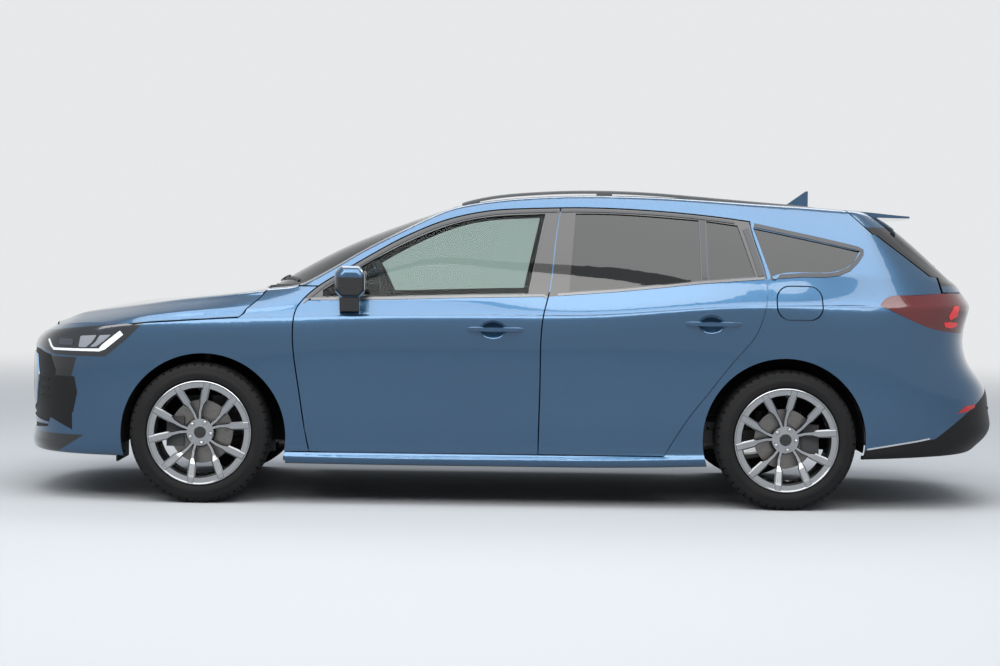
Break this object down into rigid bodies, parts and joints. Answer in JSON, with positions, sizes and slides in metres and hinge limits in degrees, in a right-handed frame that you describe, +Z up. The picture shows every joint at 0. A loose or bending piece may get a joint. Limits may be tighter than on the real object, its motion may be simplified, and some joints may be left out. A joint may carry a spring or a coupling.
{
  "type": "station wagon",
  "caption": "Five-door station wagon with opening doors, bonnet, tailgate and fuel flap, steered front wheels, hollow cabin and load space.",
  "frame": {"origin": "centre of the bounding box's footprint, on the floor the tyres stand on", "axes": "+X towards the tail, +Y towards the car's right side, +Z up"},
  "size_m": [4.6673, 2.02, 1.4959],
  "materials": {
    "body_paint": "gloss metallic blue",
    "gloss_black": "gloss",
    "tinted_glass": "tinted",
    "lamp_clear": "clear cover over grey reflectors",
    "lamp_red": "clear red cover",
    "rail_black": "gloss black",
    "black_plastic": "matte",
    "seat_cloth": "woven",
    "soft_black": "satin",
    "engine_grey": "cast",
    "chassis_iron": "coated",
    "exhaust_steel": "dull",
    "tyre_rubber": "matte",
    "alloy_wheel": "dark grey paint with machined faces"
  },
  "bodies": {
    "car_body": {"body_side_left": "body_paint", "body_side_right": "body_paint", "front_fenders": "body_paint", "roof_panel": "body_paint", "front_bumper": "body_paint", "rear_bumper": "body_paint", "front_grille": "gloss_black", "windscreen": "tinted_glass", "quarter_windows": "tinted_glass", "headlamps": "lamp_clear", "tail_lamps": "lamp_red", "roof_rails": "rail_black", "floor_pan": "black_plastic", "cowl_panel": "black_plastic", "dashboard": "black_plastic", "front_seats": "seat_cloth", "rear_seat": "seat_cloth", "engine_block": "engine_grey", "front_subframe": "chassis_iron", "rear_axle": "chassis_iron", "exhaust": "exhaust_steel"},
    "door_front_left": {"door_fl": "body_paint", "glass_fl": "tinted_glass", "mirror_l": "gloss_black"},
    "door_front_right": {"door_fr": "body_paint", "glass_fr": "tinted_glass", "mirror_r": "gloss_black"},
    "door_rear_left": {"door_rl": "body_paint", "glass_rl": "tinted_glass"},
    "door_rear_right": {"door_rr": "body_paint", "glass_rr": "tinted_glass"},
    "bonnet_lid": {"bonnet": "body_paint"},
    "tailgate_lid": {"tailgate": "body_paint", "tailgate_glass": "tinted_glass"},
    "fuel_lid": {"fuel_flap": "body_paint"},
    "road_wheel_fl": {"wheel_fl": "alloy_wheel", "tyre_fl": "tyre_rubber"},
    "road_wheel_fr": {"wheel_fr": "alloy_wheel", "tyre_fr": "tyre_rubber"},
    "road_wheel_rl": {"wheel_rl": "alloy_wheel", "tyre_rl": "tyre_rubber"},
    "road_wheel_rr": {"wheel_rr": "alloy_wheel", "tyre_rr": "tyre_rubber"},
    "steer_knuckle_fl": {"knuckle_fl": "chassis_iron"},
    "steer_knuckle_fr": {"knuckle_fr": "chassis_iron"},
    "steer_wheel": {"steering_wheel": "soft_black"}
  },
  "joints": [
    {"name": "door_front_left_hinge", "type": "hinge", "parent": "car_body", "child": "door_front_left", "pos_m": [-0.948, -0.89, 0.6], "axis": [0, 0, -1], "range_deg": [0, 65]},
    {"name": "door_rear_left_hinge", "type": "hinge", "parent": "car_body", "child": "door_rear_left", "pos_m": [0.18735, -0.892, 0.6], "axis": [0, 0, -1], "range_deg": [0, 65]},
    {"name": "door_front_right_hinge", "type": "hinge", "parent": "car_body", "child": "door_front_right", "pos_m": [-0.948, 0.89, 0.6], "axis": [0, 0, 1], "range_deg": [0, 65]},
    {"name": "door_rear_right_hinge", "type": "hinge", "parent": "car_body", "child": "door_rear_right", "pos_m": [0.18735, 0.892, 0.6], "axis": [0, 0, 1], "range_deg": [0, 65]},
    {"name": "bonnet_hinge", "type": "hinge", "parent": "car_body", "child": "bonnet_lid", "pos_m": [-1.131, 0, 0.99], "axis": [0, 1, 0], "range_deg": [0, 50]},
    {"name": "tailgate_hinge", "type": "hinge", "parent": "car_body", "child": "tailgate_lid", "pos_m": [1.57, 0, 1.402], "axis": [0, -1, 0], "range_deg": [0, 80]},
    {"name": "fuel_flap_hinge", "type": "hinge", "parent": "car_body", "child": "fuel_lid", "pos_m": [1.2166, -0.8866, 0.955], "axis": [0, -0.4279, -0.9038], "range_deg": [0, 75]},
    {"name": "steer_fl", "type": "hinge", "parent": "car_body", "child": "steer_knuckle_fl", "pos_m": [-1.434, -0.719, 0.3235], "axis": [0, 0.2588, 0.9659], "range_deg": [-35, 35]},
    {"name": "steer_fr", "type": "hinge", "parent": "car_body", "child": "steer_knuckle_fr", "pos_m": [-1.434, 0.719, 0.3235], "axis": [0, -0.2588, 0.9659], "range_deg": [-35, 35]},
    {"name": "steering_wheel_turn", "type": "hinge", "parent": "car_body", "child": "steer_wheel", "pos_m": [-0.5754, -0.37, 0.948], "axis": [0.9135, 0, 0.4067], "range_deg": [-445, 445]},
    {"name": "wheel_fl_spin", "type": "hinge", "parent": "steer_knuckle_fl", "child": "road_wheel_fl", "pos_m": [-1.434, -0.7835, 0.3235], "axis": [0, 1, 0], "continuous": true},
    {"name": "wheel_fr_spin", "type": "hinge", "parent": "steer_knuckle_fr", "child": "road_wheel_fr", "pos_m": [-1.434, 0.7835, 0.3235], "axis": [0, 1, 0], "continuous": true},
    {"name": "wheel_rl_spin", "type": "hinge", "parent": "car_body", "child": "road_wheel_rl", "pos_m": [1.266, -0.779, 0.3235], "axis": [0, 1, 0], "continuous": true},
    {"name": "wheel_rr_spin", "type": "hinge", "parent": "car_body", "child": "road_wheel_rr", "pos_m": [1.266, 0.779, 0.3235], "axis": [0, 1, 0], "continuous": true}
  ],
  "couplings": [
    {"joint": "steer_fr", "follows": "steer_fl", "ratio": 1},
    {"joint": "steering_wheel_turn", "follows": "steer_fl", "ratio": 12.7}
  ]
}
